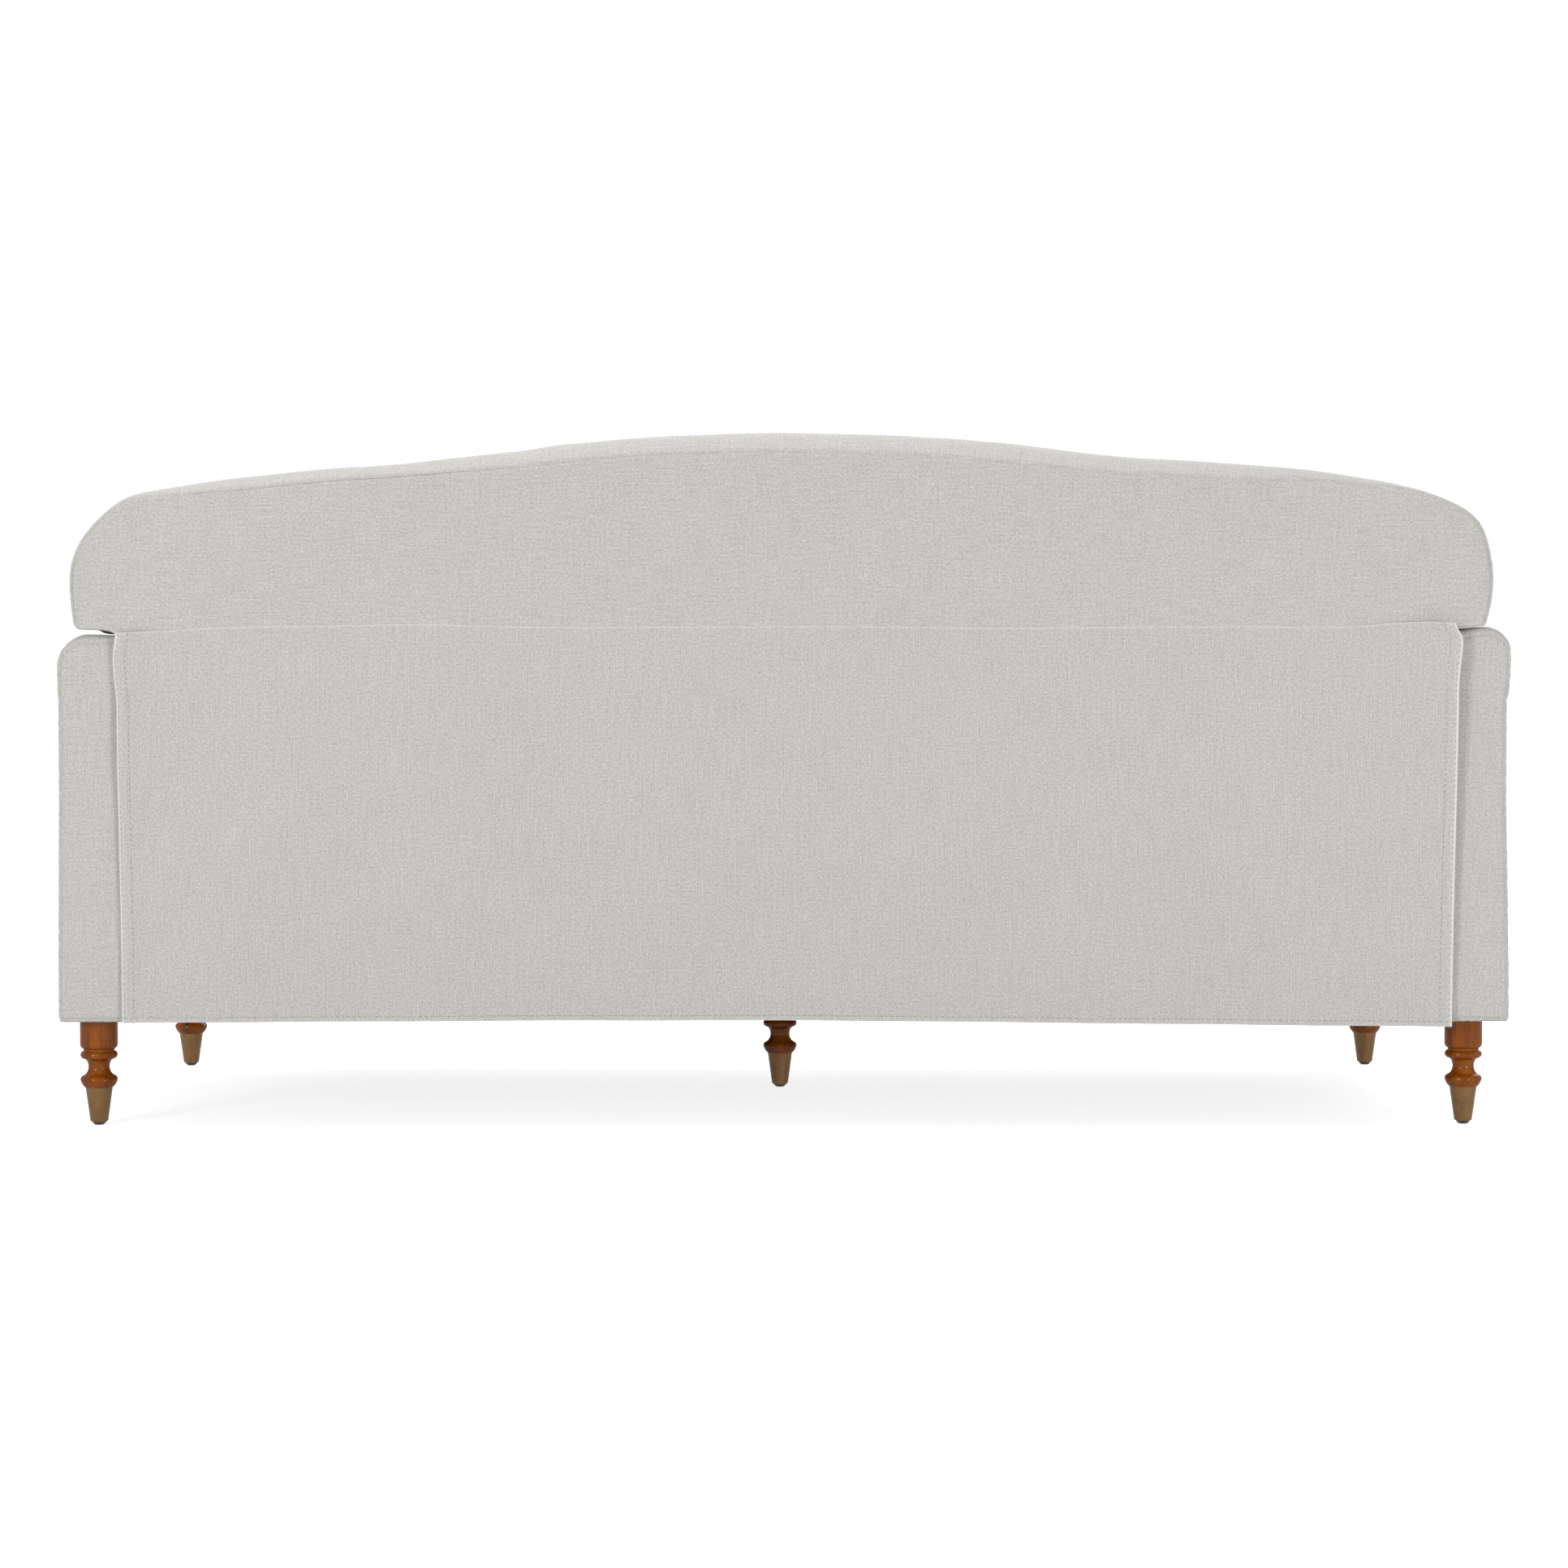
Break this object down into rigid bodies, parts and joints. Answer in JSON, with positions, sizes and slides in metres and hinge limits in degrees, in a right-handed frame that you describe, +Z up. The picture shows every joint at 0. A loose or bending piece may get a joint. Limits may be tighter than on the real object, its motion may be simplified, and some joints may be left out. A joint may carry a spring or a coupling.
{
  "type": "loveseat",
  "caption": "Low-armed loveseat with a camel-shaped lift-off back, loose seat cushions, turned legs in brass cups and a cloth flap over the rear frame.",
  "frame": {"origin": "on the floor, under the middle of the whole loveseat", "axes": "+Z up, the sitter faces -Y, +X to the right as seen by someone who faces the front"},
  "size_m": [1.834, 0.8691, 0.885],
  "materials": {
    "linen_cover": "heathered weave",
    "foam": "cut foam",
    "frame_wood": "planed, bare",
    "varnished_wood": "gloss varnish",
    "antique_brass": "satin, aged",
    "dark_plastic": "matt",
    "zinc_steel": "zinc plated",
    "webbing": "woven elastic",
    "deck_cloth": "plain cotton",
    "black_cloth": "non-woven",
    "fastening_tape": "hook and loop"
  },
  "bodies": {
    "base": {"leg_rear_left": "varnished_wood", "leg_cup_rear_left": "antique_brass", "floor_glide_rear_left": "dark_plastic", "leg_rear_right": "varnished_wood", "leg_cup_rear_right": "antique_brass", "floor_glide_rear_right": "dark_plastic", "leg_front_left": "varnished_wood", "leg_cup_front_left": "antique_brass", "floor_glide_front_left": "dark_plastic", "leg_front_right": "varnished_wood", "leg_cup_front_right": "antique_brass", "floor_glide_front_right": "dark_plastic", "leg_centre": "varnished_wood", "leg_cup_centre": "antique_brass", "floor_glide_centre": "dark_plastic", "leg_hanger_bolts": "zinc_steel", "leg_tee_nuts": "zinc_steel", "left_arm_bottom_rail": "frame_wood", "left_arm_front_post": "frame_wood", "left_arm_rear_post": "frame_wood", "left_arm_top_rail": "frame_wood", "left_arm_padding": "foam", "left_arm_cover": "linen_cover", "right_arm_bottom_rail": "frame_wood", "right_arm_front_post": "frame_wood", "right_arm_rear_post": "frame_wood", "right_arm_top_rail": "frame_wood", "right_arm_padding": "foam", "right_arm_cover": "linen_cover", "base_front_rail": "frame_wood", "base_rear_rail": "frame_wood", "base_left_rail": "frame_wood", "base_right_rail": "frame_wood", "base_centre_rail": "frame_wood", "base_corner_blocks": "frame_wood", "base_catches": "zinc_steel", "arm_bolts": "zinc_steel", "seat_webbing": "webbing", "seat_deck": "deck_cloth", "front_border": "linen_cover", "dust_cloth": "black_cloth", "arm_hook_tapes": "fastening_tape"},
    "backrest": {"back_left_post": "frame_wood", "back_centre_post": "frame_wood", "back_right_post": "frame_wood", "back_bottom_rail": "frame_wood", "back_head_board": "frame_wood", "back_webbing": "webbing", "back_lower_padding": "foam", "back_head_padding": "foam", "back_cover": "linen_cover", "back_hook_plates": "zinc_steel"},
    "back_flap": {"back_flap": "linen_cover", "flap_loop_tapes": "fastening_tape"},
    "left_seat_cushion": {"left_seat_cushion_core": "foam", "left_seat_cushion_cover": "linen_cover"},
    "right_seat_cushion": {"right_seat_cushion_core": "foam", "right_seat_cushion_cover": "linen_cover"}
  },
  "joints": [
    {"name": "backrest_lift", "type": "slide", "parent": "base", "child": "backrest", "axis": [0, 0, 1], "range_m": [0, 0.12]},
    {"name": "flap_hinge", "type": "hinge", "parent": "backrest", "child": "back_flap", "pos_m": [0, 0.4297, 0.6356], "axis": [1, 0, 0], "range_deg": [0, 150]},
    {"name": "left_cushion_lift", "type": "slide", "parent": "base", "child": "left_seat_cushion", "axis": [0, 0, 1], "range_m": [0, 0.3]},
    {"name": "right_cushion_lift", "type": "slide", "parent": "base", "child": "right_seat_cushion", "axis": [0, 0, 1], "range_m": [0, 0.3]}
  ]
}
